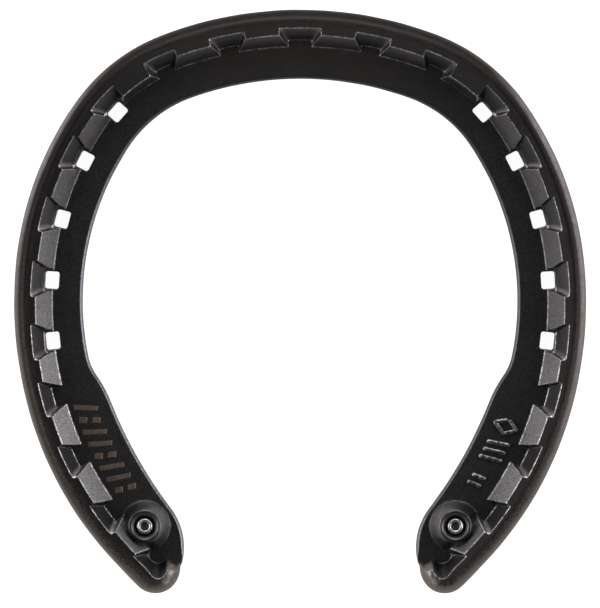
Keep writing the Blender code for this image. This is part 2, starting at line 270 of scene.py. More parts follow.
def section(col):
    """One column's closed ring of points, from the outer bottom edge up, over and back under.  Also what each row is."""
    p, n, top, foot, b, height, kind = col
    rows, what = [], []

    def put(xy, z, name):
        rows.append((xy[0], xy[1], z))
        what.append(name)

    for s, z in OUTER_WALL:
        put(p + n * s, z if z <= 0.9 else 0.9 + (z - 0.9) * (height - 0.9) / (RIM_H - 0.9), "band")
    shoulder = p + n * OUTER_WALL[-1][0]
    reach = top - shoulder
    width = max(np.linalg.norm(reach), 1e-6)
    before = [min(f, width * (0.75 - 0.22 * i)) for i, f in enumerate(RIM_BEFORE)]
    for t in (0.33, 0.66):
        put(shoulder + reach * (1 - before[0] / width) * t, height, "rim")
    for f in before:
        put(top - reach * f / width, height, "rim")
    put(top, height, "edge")
    fall = foot - top
    length = max(np.linalg.norm(fall), 1e-6)
    ends = [f / length for f in FACE_NEAR]
    inside = np.linspace(ends[-1], 1 - ends[-1], 7)
    for t in ends[:-1] + list(inside) + [1 - e for e in ends[:-1]][::-1]:
        put(top + fall * t, height + (WEB_T - height) * t, "face")
    put(foot, WEB_T, "foot")
    fade = min(1.0, max(0.12, (145.9 - b) / 3.5))
    q, m = inner.at(b)
    lip = q - m * CHAMFER * fade
    cross = lip - foot
    width = np.linalg.norm(cross)
    near = [min(f, width * 0.12 * (i + 1)) for i, f in enumerate(WEB_NEAR)]
    for f in near:
        put(foot + cross * f / width, WEB_T, "web")
    far = [min(f, width * 0.1 * (i + 1)) for i, f in enumerate((0.16, 0.4, 0.9))]
    for t in np.linspace(near[-1] / width, 1 - far[-1] / width, 9)[1:]:
        put(foot + cross * t, WEB_T, "web")
    for f in far[:-1][::-1]:
        put(lip - cross * f / width, WEB_T, "web")
    put(lip, WEB_T, "lip")
    low = WEB_T - CHAMFER * fade
    for t in (0.25, 0.5, 0.75):
        put(lip + (q - lip) * t, WEB_T + (low - WEB_T) * t, "chamfer")
    put(q, low, "lip")
    for z in (low - 0.15, low - 0.5, 1.2, 0.6, 0.28, 0.11):
        put(q, z, "inside")
    put(q - m * 0.05 * fade, 0.03, "inside")
    put(q - m * 0.2 * fade, 0.0, "under")
    under_start = q - m * 0.2 * fade
    under_end = p + n * OUTER_WALL[0][0]
    for t in (0.03, 0.1, 0.25, 0.42, 0.58, 0.75, 0.9, 0.97):
        put(under_start + (under_end - under_start) * t, 0.0, "under")
    return rows, what


half = [section(c) for c in columns]
what = half[0][1]
right = np.array([r for r, _ in half])
left = right[::-1] * (-1, 1, 1)
grid = np.concatenate([left[:-1], right])  # left heel tip, round the toe, to the right heel tip
kinds = [c[6] for c in columns]
kinds = kinds[::-1][:-1] + kinds
arc = np.array([-a for a in column_a[::-1][:-1]] + column_a)
n_col, n_row = grid.shape[:2]


def smoothed(g, axis, sigma, periodic):
    """Rounds the grid's creases along one direction with a kernel of that width in true distance."""
    g = np.moveaxis(g, axis, 0)
    n = len(g)
    reach = 9
    total, weight = np.zeros_like(g), np.zeros(g.shape[:2])
    gap = np.linalg.norm(np.roll(g, -1, 0) - g, axis=2)
    if not periodic:
        gap[-1] = gap[-2]
    share = (gap + np.roll(gap, 1, 0)) / 2 + 1e-5
    for k in range(-reach, reach + 1):
        if periodic:
            other, s = np.roll(g, -k, 0), np.roll(share, -k, 0)
            dist = np.zeros(g.shape[:2])
            for j in range(abs(k)):
                dist += np.roll(gap, -j if k > 0 else j + 1, 0)
        else:
            idx = np.clip(np.arange(n) + k, 0, n - 1)
            other, s = g[idx], share[idx]
            run = np.concatenate([np.zeros((1,) + gap.shape[1:]), np.cumsum(gap[:-1], 0)])
            dist = np.abs(run[idx] - run)
            s = np.where((np.arange(n) + k != idx)[:, None], 0.0, s)
        w = np.exp(-dist ** 2 / (2 * sigma ** 2)) * s
        total += other * w[..., None]
        weight += w
    out = total / weight[..., None]
    if not periodic:
        run = np.concatenate([np.zeros((1,) + gap.shape[1:]), np.cumsum(gap[:-1], 0)])
        keep = np.clip(np.minimum(run, run[-1] - run) / 0.6, 0, 1)[..., None]
        out = g * (1 - keep) + out * keep
    return np.moveaxis(out, 0, axis)


runs, c = [], 0
while c < n_col:
    if kinds[c] == "wall":
        e = c
        while kinds[e + 1] == "wall":
            e += 1
        runs.append((c, e))
        c = e
    c += 1
face_at = [i for i, w in enumerate(what) if w == "face"]
bulge = np.zeros(n_row)
for i, j in enumerate(face_at):
    bulge[j] = math.sin(math.pi * (i + 1) / (len(face_at) + 1)) ** 0.8
FILLET = 1.15
reach = np.clip((-60.0 - Y_SHIFT - grid[:, :, 1]) / 6.0, 0.0, 1.0)
grid[:, :, 1] -= 0.42 * reach * reach * (3 - 2 * reach)
for c, e in runs:
    rising = kinds[c - 1] != "tooth"  # the notch comes first, so the tooth stands at the end of the run
    if not ((rising and arc[c] > 0) or (not rising and arc[c] < 0)):
        continue
    base = c - 1 if rising else e + 1
    rise = float(np.interp(abs(arc[base]), (0, 20, 62, 105, 128, 165, 180), (0.15, 0.25, 0.4, 0.5, 0.95, 0.95, 0.5)))
    for i in range(c, e + 1):
        t = (i - c + 1) / (e - c + 2)
        grid[i, :, 2] += bulge * rise * (1 - t if rising else t)
    i = base
    while kinds[i] == "notch" or kinds[i] == "tip":
        u = abs(arc[i] - arc[base])
        if u > FILLET:
            break
        grid[i, :, 2] += bulge * rise * (1 - u / FILLET) ** 2
        i += -1 if rising else 1

low_rows = np.array([w in ("under",) for w in what])
flat_z = grid[..., 2].copy()
grid = smoothed(grid, 1, 0.13, True)
grid = smoothed(grid, 0, 0.15, False)
grid = smoothed(grid, 1, 0.09, True)
grid = smoothed(grid, 0, 0.10, False)
grid[:, low_rows, 2] = 0.0

# Slight unevenness of a forged and tumbled surface.
flat = grid.reshape(-1, 3)
move = np.zeros_like(flat)
names = np.array([what] * n_col).reshape(-1)
for i, (x, y, z) in enumerate(flat):
    if names[i] == "under":
        continue
    v = Vector((x, y, z))
    lift = 0.045 * noise.noise(v / 9.0) + 0.02 * noise.noise(v / 3.1 + Vector((7, 3, 1)))
    if names[i] in ("edge", "face", "rim", "foot"):
        lift += 0.018 * noise.noise(v / 1.3 + Vector((3, 9, 4)))
    if names[i] in ("band", "inside"):
        if z < 0.5:
            continue
        move[i, 0] = 0.05 * noise.noise(v / 6.0 + Vector((1, 2, 3)))
        move[i, 1] = 0.05 * noise.noise(v / 6.0 + Vector((5, 1, 8)))
        lift *= min(1.0, z / 3.0)
    move[i, 2] = lift
flat = flat + move
flat[:, 2] = np.minimum(flat[:, 2], RIM_H + 0.04)

# ------------------------------------------------------------------ the body mesh
ring = np.arange(n_col * n_row).reshape(n_col, n_row)
faces = []
for j in range(n_row):
    k = (j + 1) % n_row
    a, b, c, d = ring[:-1, j], ring[:-1, k], ring[1:, k], ring[1:, j]
    faces += np.stack([a, b, c, d], 1).tolist()
foot_row = what.index("foot")
under_first = what.index("under")


def zip_end(c, flip):
    """Closes the last ring, whose two banks lie along each other, with triangles from its inner bottom to its foot."""
    bank_a = [ring[c, under_first]] + [ring[c, j % n_row] for j in range(under_first + 1, n_row + foot_row + 1)]
    bank_b = [ring[c, j] for j in range(under_first, foot_row - 1, -1)]
    i = j = 0
    while i < len(bank_a) - 1 or j < len(bank_b) - 1:
        step_a = np.linalg.norm(flat[bank_a[i + 1]] - flat[bank_b[j]]) if i < len(bank_a) - 1 else 1e9
        step_b = np.linalg.norm(flat[bank_a[i]] - flat[bank_b[j + 1]]) if j < len(bank_b) - 1 else 1e9
        if step_a <= step_b:
            tri = (bank_a[i], bank_a[i + 1], bank_b[j])
            i += 1
        else:
            tri = (bank_a[i], bank_b[j + 1], bank_b[j])
            j += 1
        if len(set(int(v) for v in tri)) == 3:
            faces.append([int(v) for v in (tri[::-1] if flip else tri)])


zip_end(n_col - 1, False)
zip_end(0, True)


def new_object(name, verts, polys, smooth=True):
    mesh = bpy.data.meshes.new(name)
    mesh.from_pydata([tuple(v) for v in verts], [], polys)
    mesh.update()
    bm = bmesh.new()
    bm.from_mesh(mesh)
    bmesh.ops.recalc_face_normals(bm, faces=bm.faces)
    bm.to_mesh(mesh)
    bm.free()
    mesh.polygons.foreach_set("use_smooth", [smooth] * len(mesh.polygons))
    o = bpy.data.objects.new(name, mesh)
    bpy.context.scene.collection.objects.link(o)
    return o


def to_metres(points):
    p = np.array(points, float) * MM
    p[:, 1] += Y_SHIFT * MM
    return p


def turned(name, profile, at, steps=96, closed=True, wobble=None):
    """A solid of revolution from (radius, height) points, on the axis at both ends or closed on itself."""
    verts, polys, first = [], [], []
    for r, z in profile:
        first.append(len(verts))
        if r < 1e-6:
            verts.append((at[0], at[1], z))
            continue
        for i in range(steps):
            t = 2 * math.pi * i / steps
            rr, zz = (r, z) if wobble is None else wobble(r, z, t)
            verts.append((at[0] + rr * math.cos(t), at[1] + rr * math.sin(t), zz))
    loop = list(range(len(profile)))
    pairs = list(zip(loop, loop[1:])) + ([(loop[-1], loop[0])] if closed and profile[0][0] > 1e-6 else [])
    for u, v in pairs:
        su, sv = profile[u][0] < 1e-6, profile[v][0] < 1e-6
        for i in range(steps):
            k = (i + 1) % steps
            if su and sv:
                continue
            if su:
                polys.append((first[u], first[v] + i, first[v] + k))
            elif sv:
                polys.append((first[u] + i, first[v], first[u] + k))
            else:
                polys.append((first[u] + i, first[v] + i, first[v] + k, first[u] + k))
    return new_object(name, to_metres(verts), polys)


def joined(objects, name):
    """Several meshes as one object."""
    bm = bmesh.new()
    for o in objects:
        bm.from_mesh(o.data)
        bpy.data.objects.remove(o)
    mesh = bpy.data.meshes.new(name)
    bm.to_mesh(mesh)
    bm.free()
    o = bpy.data.objects.new(name, mesh)
    bpy.context.scene.collection.objects.link(o)
    return o


body = new_object("forged_shoe", to_metres(flat), faces)

BOSS_PROFILE = through(((6.0, 2.84), (5.65, 3.2), (5.05, 4.15), (4.3, 5.55), (3.82, 6.35)), (4, 4, 4, 4)) + [
    (3.62, 6.58), (3.42, 6.7), (3.24, 6.73), (3.06, 6.68), (2.9, 6.55), (2.7, 6.28), (2.5, 5.98), (2.38, 5.8), (2.3, 5.64), (2.24, 5.5), (2.2, 5.4)]


def boss(name, at):
    def wobble(r, z, t):
        v = Vector((at[0] + r * math.cos(t), at[1] + r * math.sin(t), z * 2))
        return r + 0.05 * noise.noise(v / 1.7), z + 0.045 * noise.noise(v / 2.3 + Vector((4, 4, 4)))
    profile = [(0.0, 5.4), (2.0, 5.4)] + [tuple(q) for q in BOSS_PROFILE[::-1]] + [(6.15, 2.5), (6.15, 2.0), (0.0, 2.0)]
    return turned(name, profile, at, 112, False, wobble)


bosses = joined([boss("boss_right", (BOSS_X, BOSS_Y)), boss("boss_left", (-BOSS_X, BOSS_Y))], "bosses")


def punch(x, y, turn):
    """A nail punch: square with rounded corners, flaring just above the web so that the hole's edge is eased."""
    outline = []
    hl, hw, c = NAIL_LONG / 2, NAIL_WIDE / 2, NAIL_CORNER
    for cx, cy, start in ((hl - c, hw - c, 0), (-hl + c, hw - c, 90), (-hl + c, -hw + c, 180), (hl - c, -hw + c, 270)):
        for i in range(6):
            t = math.radians(start + 18 * i)
            outline.append((cx + c * math.cos(t), cy + c * math.sin(t)))
    levels = ((-1.0, 0.0), (2.62, 0.0), (2.78, 0.04), (2.9, 0.12), (3.02, 0.26), (3.5, 0.85), (12.0, 0.9))
    verts, polys = [], []
    m = len(outline)
    for z, grow in levels:
        for px, py in outline:
            k = 1 + grow / math.hypot(px, py)
            ux, uy = px * k, py * k
            verts.append((x + ux * math.cos(turn) - uy * math.sin(turn), y + ux * math.sin(turn) + uy * math.cos(turn), z))
    for lev in range(len(levels) - 1):
        for i in range(m):
            k = (i + 1) % m
            polys.append((lev * m + i, lev * m + k, (lev + 1) * m + k, (lev + 1) * m + i))
    polys.append(tuple(range(m))[::-1])
    polys.append(tuple((len(levels) - 1) * m + i for i in range(m)))
    return new_object("punch", to_metres(verts), polys)


centres = [0.0]
for pitch in NOTCH_PITCH:
    centres.append(centres[-1] + pitch)
cutters, nail_holes = [], []
for n, index in enumerate(NAIL_NOTCHES):
    a = centres[index]
    s = NAIL_DEPTH[0] + (NAIL_DEPTH[1] - NAIL_DEPTH[0]) * n / (len(NAIL_NOTCHES) - 1)
    p, (_, normal) = outer.inset(a, s), outer.at(a)
    for side in (1, -1):
        nail_holes.append((p[0] * side, p[1]))
        cutters.append(punch(p[0] * side, p[1], math.atan2(normal[1], normal[0] * side) - math.pi / 2))
for side in (1, -1):
    cutters.append(turned("bore", [(0.0, 9.0), (BORE_R, 9.0), (BORE_R, BORE_FLOOR), (0.0, BORE_FLOOR)], (BOSS_X * side, BOSS_Y), 64, False))
cutters = joined(cutters, "cutters")


def combine(o, other, operation):
    m = o.modifiers.new(operation, "BOOLEAN")
    m.operation, m.solver, m.object = operation, "EXACT", other


combine(body, bosses, "UNION")
combine(body, cutters, "DIFFERENCE")
bpy.context.view_layer.update()
final = bpy.data.meshes.new_from_object(body.evaluated_get(bpy.context.evaluated_depsgraph_get()))
body.modifiers.clear()
body.data = final
final.name = "forged_shoe"
bpy.data.objects.remove(bosses)
bpy.data.objects.remove(cutters)

bm = bmesh.new()
bm.from_mesh(final)
bmesh.ops.remove_doubles(bm, verts=bm.verts, dist=0.000004)
bmesh.ops.dissolve_degenerate(bm, edges=bm.edges, dist=0.000002)
bmesh.ops.delete(bm, geom=[e for e in bm.edges if not e.link_faces], context="EDGES")
bmesh.ops.delete(bm, geom=[v for v in bm.verts if not v.link_faces], context="VERTS")
bmesh.ops.holes_fill(bm, edges=[e for e in bm.edges if len(e.link_faces) == 1], sides=8)
bmesh.ops.triangulate(bm, faces=[f for f in bm.faces if len(f.verts) > 4])
for f in bm.faces:
    f.smooth = True
for e in bm.edges:
    e.smooth = not (len(e.link_faces) == 2 and e.calc_face_angle(0.0) > math.radians(48))
open_edges = sum(len(e.link_faces) != 2 for e in bm.edges)
bm.to_mesh(final)
bm.free()
print("body:", len(final.vertices), "vertices,", len(final.polygons), "faces,", open_edges, "open or shared edges")

# Per-vertex facts for the material: which part of the forging a point is on, how exposed it is, and where light and
# shade are painted into the colour.
tree = kdtree.KDTree(len(flat))
grid_m = to_metres(flat)
for i, v in enumerate(grid_m):
    tree.insert(v, i)
tree.balance()
kind_of = np.repeat(np.array(kinds), n_row)
arc_of = np.repeat(arc, n_row)
along_toe = np.abs(arc_of)
# Painted light on the tooth faces: lighter towards the heels and more on the left branch, standing in for how the side
# light falls on them.
painted_tooth_light = np.where(
    arc_of < 0,
    np.interp(along_toe, (0, 40, 62, 72, 87, 100, 115, 132, 150, 172), (0, 0, 0.04, 0.08, 0.22, 0.30, 0.52, 0.92, 0.86, 0.6)),
    np.interp(along_toe, (0, 40, 62, 72, 87, 100, 115, 132, 150, 172), (0, 0, 0.0, 0.0, 0.0, 0.04, 0.16, 0.42, 0.64, 0.5)))
tooth_face_light = ((names == "face") & (kind_of == "tooth")) * painted_tooth_light
# Painted shade on the notch faces, by how far they lie along the branch.
notch_face_shade = ((names == "face") & np.isin(kind_of, ("notch", "tip", "cap"))) * np.interp(along_toe, (0, 50, 70, 95, 110, 130), (0.0, 0.5, 0.9, 0.3, 0.6, 1.0))
band = (names == "band").astype(float)
chamfer = np.isin(names, ("chamfer", "lip")).astype(float)
# Painted light on the inner chamfer: a pale lavender tone by position, stronger towards the heels and on the left.
chamfer_painted_light = chamfer * np.interp(arc_of, (-175, -60, -30, 30, 60, 125, 175), (0.46, 0.36, 0.12, 0.06, 0.06, 0.1, 0.26))
wall_s = np.zeros(n_row)
wall_s[:n_wall] = [q[0] for q in OUTER_WALL]
# Painted shade on the outer band: darker as the rounding turns towards the rim top, where it would reflect less of the
# side light.
fall_row = np.where(np.arange(n_row) < n_wall, np.interp(wall_s, (0.1, 0.5, 1.0, 2.0), (0.0, 0.45, 0.9, 1.0)), 0.0)
fall_row[:4] = 0.0
band_painted_shade = np.tile(fall_row, n_col) * np.interp(along_toe, (170, 186, 190), (1.0, 0.55, 0.35))
# Painted highlight along the outer band of each branch, a little way in from the outline, where the side light would
# reflect.
glow_left = np.where(np.arange(n_row) < n_wall, np.interp(wall_s, (0.05, 0.4, 0.8, 1.2), (0.0, 1.0, 0.75, 0.0)), 0.0)
glow_right = np.where(np.arange(n_row) < n_wall, np.interp(wall_s, (0.1, 0.6, 1.1, 1.5), (0.15, 1.0, 0.75, 0.0)), 0.0)
glow = np.where(
    arc_of < 0,
    np.tile(glow_left, n_col) * np.interp(along_toe, (46, 65, 85, 105, 125, 150), (0.0, 0.95, 0.8, 0.42, 0.3, 0.1)),
    np.tile(glow_right, n_col) * np.interp(along_toe, (46, 65, 105, 130, 152), (0.0, 1.0, 0.9, 0.6, 0.2)))
# Painted shade on the outer band round the toe, which faces away from the side lights.
toe_band_shade = (names == "band") * np.interp(along_toe, (22, 60), (1.0, 0.0))
band_painted_shade *= 1 - 0.3 * toe_band_shade
# Painted highlight: the rim top of the right branch is lighter away from the toe.
rim_light = (names == "rim") * (arc_of > 0) * np.interp(along_toe, (60, 90), (0.0, 1.0))
# Painted light: the whole surface near the toe is lighter and warmer.
toe_painted_light = np.interp(along_toe, (15, 60), (1.0, 0.0))
# Painted shade on the rim top of the left branch, away from the toe.
rim_top_shade = (names == "rim") * np.where(arc_of < 0, 1.0, 0.0) * np.interp(along_toe, (30, 60), (0.0, 1.0))
# Painted highlights: thin bright lines along the edges of the tooth and notch faces, where the fillets would catch the
# side light; below, a painted highlight on the notch side of the toe-facing walls and painted shade on the walls.
col_line, lip, shade = np.zeros(n_col), np.zeros(n_col), np.zeros(n_col)
for c in range(1, n_col - 1):
    for d in (-1, 1):
        if (kinds[c] == "wall") != (kinds[c + d] == "wall") and 0 < c + d < n_col:
            col_line[c] = max(col_line[c], 1.0 if kinds[c] != "wall" else 0.6)
for c, e in runs:
    rising = kinds[c - 1] != "tooth"
    base = c - 1 if rising else e + 1
    if (rising and arc[c] > 0) or (not rising and arc[c] < 0):
        i = base
        while kinds[i] in ("notch", "tip") and abs(arc[i] - arc[base]) < FILLET:
            lip[i] = 1 - abs(arc[i] - arc[base]) / FILLET
            i += -1 if rising else 1
    for i in range(c, e + 1):
        t = (i - c + 1) / (e - c + 2)
        t = t if rising else 1 - t  # 0 at the notch, 1 at the tooth
        faces_toe = (rising and arc[i] > 0) or (not rising and arc[i] < 0)
        if faces_toe:
            lip[i] = max(0.0, 1 - t * 1.5)
        shade[i] = min(1.0, max(0.0, t * 1.6 - 0.2)) if faces_toe else 0.9
face_rows = np.array([w == "face" for w in what]).astype(float)
away, kind_col = np.abs(arc), np.array(kinds)
at_tip = np.isin(kind_col, ("tip", "cap"))
glint = np.interp(away, (0, 8, 40, 62, 105, 125, 185), (0.85, 0.9, 0.8, 0.32, 0.38, 0.95, 1.0))
lines = {}
for key in ("edge", "foot"):
    j = what.index(key)
    lines[key] = np.zeros(n_row)
    lines[key][[j - 1, (j + 1) % n_row]] = 0.5
    lines[key][j] = 1.0
edge_gain = np.where(kind_col == "cap", 0.2, np.where(at_tip, np.interp(away, (172, 182), (0.7, 0.25)), 1.0))
foot_gain = np.where(at_tip, 0.15, np.where(kind_col == "tooth", np.interp(away, (0, 30, 62, 105, 128), (0.85, 0.85, 0.35, 0.5, 0.9)), 0.7))
cross = np.zeros(n_row)
for j, i in enumerate(face_at):
    cross[i] = j
corner = np.exp(-(cross / 2.2) ** 2) * face_rows
cross_gain = np.interp(away, (0, 45, 66), (0.16, 0.2, 0.7)) * np.where(at_tip, 0.2, 1.0)
line = np.maximum(lines["edge"][None, :] * edge_gain[:, None], lines["foot"][None, :] * foot_gain[:, None])
across_line = np.maximum(cross_gain[:, None] * face_rows[None, :], 0.95 * corner[None, :] * np.where(at_tip, 0.3, 1.0)[:, None])
line = np.maximum(line, col_line[:, None] * across_line) * glint[:, None]
line = line.reshape(-1)
# Painted highlight: a warm pale patch on the notch side of the walls that face the toe, stronger towards the heels.
inner_rows = np.array([w in ("face", "foot") for w in what]).astype(float)
lip_highlight_of = (lip[:, None] * inner_rows[None, :] * np.interp(np.abs(arc), (0, 40, 70, 120, 140), (0.15, 0.3, 0.5, 0.7, 1.0))[:, None]).reshape(-1)
across_shade = np.where(at_tip[:, None], (0.15 + 0.75 * cross / cross.max())[None, :] * np.interp(away, (168, 180), (0.4, 1.0))[:, None], shade[:, None])
shade_of = (across_shade * face_rows[None, :]).reshape(-1)
# Painted reflection: warm beige speckle on the outer band towards the heel tips, standing in for the reflection of the
# warm light.
heel = np.interp(along_toe, (90, 125, 160, 191), (0.0, 0.35, 0.8, 1.0)) * (names == "band") * (1 - 0.5 * band_painted_shade)
n_vert = len(final.vertices)
co = np.zeros(n_vert * 3)
final.vertices.foreach_get("co", co)
co = co.reshape(-1, 3)
near = np.array([tree.find(v)[1] for v in co])
pairs = np.zeros(len(final.edges) * 2, int)
final.edges.foreach_get("vertices", pairs)
pairs = pairs.reshape(-1, 2)
normal = np.zeros(n_vert * 3)
final.vertices.foreach_get("normal", normal)
normal = normal.reshape(-1, 3)
edge_len = np.linalg.norm(co[pairs[:, 0]] - co[pairs[:, 1]], axis=1) + 1e-9
bend, share = np.zeros(n_vert), np.zeros(n_vert)
for u, v in ((0, 1), (1, 0)):
    d = co[pairs[:, v]] - co[pairs[:, u]]
    along = (d * normal[pairs[:, u]]).sum(1) / edge_len
    np.add.at(bend, pairs[:, u], -along / edge_len * np.minimum(edge_len, 0.0004))
    np.add.at(share, pairs[:, u], 1.0)
bend /= np.maximum(share, 1)


def blurred(values, rounds):
    for _ in range(rounds):
        total, count = values.copy(), np.ones(n_vert)
        for u, v in ((0, 1), (1, 0)):
            np.add.at(total, pairs[:, u], values[pairs[:, v]])
            np.add.at(count, pairs[:, u], 1.0)
        values = total / count
    return values


def attribute(name, values):
    final.attributes.new(name, "FLOAT", "POINT").data.foreach_set("value", np.asarray(values, np.float32))


# A point that stands clear of the grid is on a boss or in a hole, where the grid's lines don't apply.
clear = np.linalg.norm(co - grid_m[near], axis=1) > 0.00045
boss_zone = np.zeros(n_vert)
for side in (1, -1):
    away = np.hypot(co[:, 0] / MM - BOSS_X * side, co[:, 1] / MM - Y_SHIFT - BOSS_Y)
    boss_zone = np.maximum(boss_zone, ((away < 6.2) & clear & (co[:, 2] > 0.0031)).astype(float))
keep = 1.0 - np.maximum(boss_zone, clear * 0.7)
attribute("worn", np.clip(blurred(bend, 1) * 4.0, -1, 1) * (1 - 0.8 * chamfer[near]) * (1 - 0.8 * boss_zone))
attribute("tooth_face_light", tooth_face_light[near] * keep)
attribute("notch_face_shade", notch_face_shade[near] * keep)
attribute("edge_painted_highlight", line[near] * keep)
attribute("wall_painted_highlight", lip_highlight_of[near] * keep)
attribute("wall_shade", shade_of[near] * keep)
attribute("outer_band", blurred(band[near], 1))
attribute("band_painted_shade", blurred(band_painted_shade[near], 1))
attribute("band_glow", blurred(glow[near], 1))
attribute("toe_band_shade", blurred(toe_band_shade[near], 1))
attribute("rim_light", blurred(rim_light[near] * keep, 1))
attribute("toe_painted_light", toe_painted_light[near])
attribute("rim_top_shade", blurred(rim_top_shade[near] * keep, 1))
attribute("heel_band_reflection", blurred(heel[near], 2))
attribute("chamfered", chamfer[near])
attribute("chamfer_painted_light", chamfer_painted_light[near])
attribute("boss_zone", boss_zone)
# Painted light on the bosses and heel tips: a lightened boss crater, streaky painted highlights on each heel-tip nub,
# and painted shade on each boss's outer flank.
crater_painted_light, nub_painted_highlight, flank = np.zeros(n_vert), np.zeros(n_vert), np.zeros(n_vert)
for side in (1, -1):
    px, py = co[:, 0] / MM * side, co[:, 1] / MM
    away = np.hypot(px - BOSS_X, py - Y_SHIFT - BOSS_Y)
    crater_painted_light = np.maximum(crater_painted_light, np.clip((3.1 - away) / 0.3, 0, 1) * (co[:, 2] > 0.0031))
    flank = np.maximum(flank, boss_zone * (px > 0) * np.clip(0.35 + 0.3 * (px - BOSS_X), 0, 1) * (1.0 if side < 0 else 0.8))
    a, b = np.array((28.9, -59.4)), np.array((30.6, -63.4))
    t = np.clip(((px - a[0]) * (b - a)[0] + (py - a[1]) * (b - a)[1]) / np.dot(b - a, b - a), 0, 1)
    gap = np.hypot(px - a[0] - t * (b - a)[0], py - a[1] - t * (b - a)[1])
    nub_painted_highlight = np.maximum(nub_painted_highlight, np.clip(1.35 - gap / 1.1, 0, 1) * (co[:, 2] > 0.0036))
attribute("crater_painted_light", crater_painted_light)
attribute("nub_painted_highlight", nub_painted_highlight)
attribute("boss_flank_shade", flank)

# ------------------------------------------------------------------ studs


def stud(side):
    at = (BOSS_X * side, BOSS_Y)

    def dent(r, z, t):
        v = Vector((at[0] + r * math.cos(t), at[1] + r * math.sin(t), z))
        k = 1.0 if z > 5.0 else 0.0
        return r + 0.03 * k * noise.noise(v / 0.7), z + 0.05 * k * noise.noise(v / 0.6 + Vector((2, 2, 2)))

    sleeve = turned("sleeve_" + ("right" if side > 0 else "left"), [
        (1.0, 5.9), (1.0, 6.08), (1.05, 6.2), (1.14, 6.27), (1.28, 6.3), (1.44, 6.3), (1.56, 6.26), (1.66, 6.16), (1.74, 6.02), (1.83, 5.84),
        (1.88, 5.66), (1.9, 5.4), (1.9, 4.6), (1.9, STUD_FLOOR), (1.2, STUD_FLOOR), (1.2, 4.4), (1.18, 5.6), (1.04, 5.75)], at, 80, True, dent)
    pin = turned("pin_" + ("right" if side > 0 else "left"), [
        (0.0, 5.62), (0.2, 5.6), (0.42, 5.62), (0.6, 5.66), (0.72, 5.7), (0.8, 5.71), (0.86, 5.68), (0.91, 5.6), (0.92, 5.45),
        (0.92, STUD_FLOOR + 0.2), (0.0, STUD_FLOOR + 0.2)], at, 64, False, dent)
    return sleeve, pin


# ------------------------------------------------------------------ plain marks on the web, in place of any lettering


def web_lift(x, y):
    """The same unevenness that the body's web has at (x, y), before the shift along Y."""
    v = Vector((x, y, WEB_T))
    return WEB_T + 0.045 * noise.noise(v / 9.0) + 0.02 * noise.noise(v / 3.1 + Vector((7, 3, 1)))


def on_web(a, s, side):
    p = outer.inset(a, s)
    return p[0] * side, p[1]


def stroke(a0, s0, a1, s1, width, side, rise):
    """A flat stroke along the web as a fine grid, with its ends cut square to it and its sides sunk in."""
    n = max(4, int(math.hypot(a1 - a0, s1 - s0) / 0.3))
    length = math.hypot(a1 - a0, s1 - s0)
    ux, uy = (a1 - a0) / length, (s1 - s0) / length
    verts, polys = [], []
    across = ((-0.5, -0.12), (-0.5, 0.6), (-0.44, 1.0), (-0.2, 1.0), (0.0, 1.0), (0.2, 1.0), (0.44, 1.0), (0.5, 0.6), (0.5, -0.12))
    stations = [(0.0, -0.12)] + [(i / n, 1.0) for i in range(n + 1)] + [(1.0, -0.12)]
    for t, up in stations:
        for k, lift in across:
            a, q = a0 + ux * length * t - uy * k * width, s0 + uy * length * t + ux * k * width
            x, y = on_web(a, q, side)
            verts.append((x, y, web_lift(x, y) + (rise * lift if up > 0 else -0.1) - (0.1 if lift < 0 else 0)))
    m = len(across)
    for i in range(len(stations) - 1):
        for j in range(m - 1):
            polys.append((i * m + j, i * m + j + 1, (i + 1) * m + j + 1, (i + 1) * m + j))
    for i in (range(len(stations) - 1)):
        polys.append((i * m + m - 1, i * m, (i + 1) * m, (i + 1) * m + m - 1))
    polys.append(tuple(range(m))[::-1])
    polys.append(tuple((len(stations) - 1) * m + j for j in range(m)))
    return new_object("stroke", to_metres(verts), polys)


def bead(path, width, height):
    """A raised half-round bead along (x, y) points, tapering to rounded ends, sunk a little into the web."""
    path = [np.array(q, float) for q in path]
    run = np.concatenate([[0.0], np.cumsum([np.linalg.norm(b - a) for a, b in zip(path, path[1:])])])
    n = max(8, int(run[-1] / 0.22))
    verts, polys, m = [], [], 12
    for i in range(n + 1):
        d = run[-1] * i / n
        q = np.array([np.interp(d, run, [p[k] for p in path]) for k in (0, 1)])
        e = np.array([np.interp(min(run[-1], d + 0.3), run, [p[k] for p in path]) - np.interp(max(0.0, d - 0.3), run, [p[k] for p in path]) for k in (0, 1)])
        e /= np.linalg.norm(e)
        near = min(d, run[-1] - d) / (width / 2)
        size = math.sqrt(max(0.02, 1 - (1 - min(1.0, near)) ** 2))
        base = web_lift(*q)
        for j in range(m):
            t = math.pi * (j / (m - 1))
            x, y = q + np.array((-e[1], e[0])) * math.cos(t) * width / 2 * size
            z = base - 0.14 + (height + 0.14) * math.sin(t) ** 0.8 * size * (1 + 0.18 * noise.noise(Vector((x, y, 0)) / 0.8))
            verts.append((x, y, z if 0 < j < m - 1 else base - 0.14))
    for i in range(n):
        for j in range(m):
            k = (j + 1) % m
            polys.append((i * m + j, i * m + k, (i + 1) * m + k, (i + 1) * m + j))
    polys.append(tuple(range(m))[::-1])
    polys.append(tuple(n * m + j for j in range(m)))
    return new_object("bead", to_metres(verts), polys)


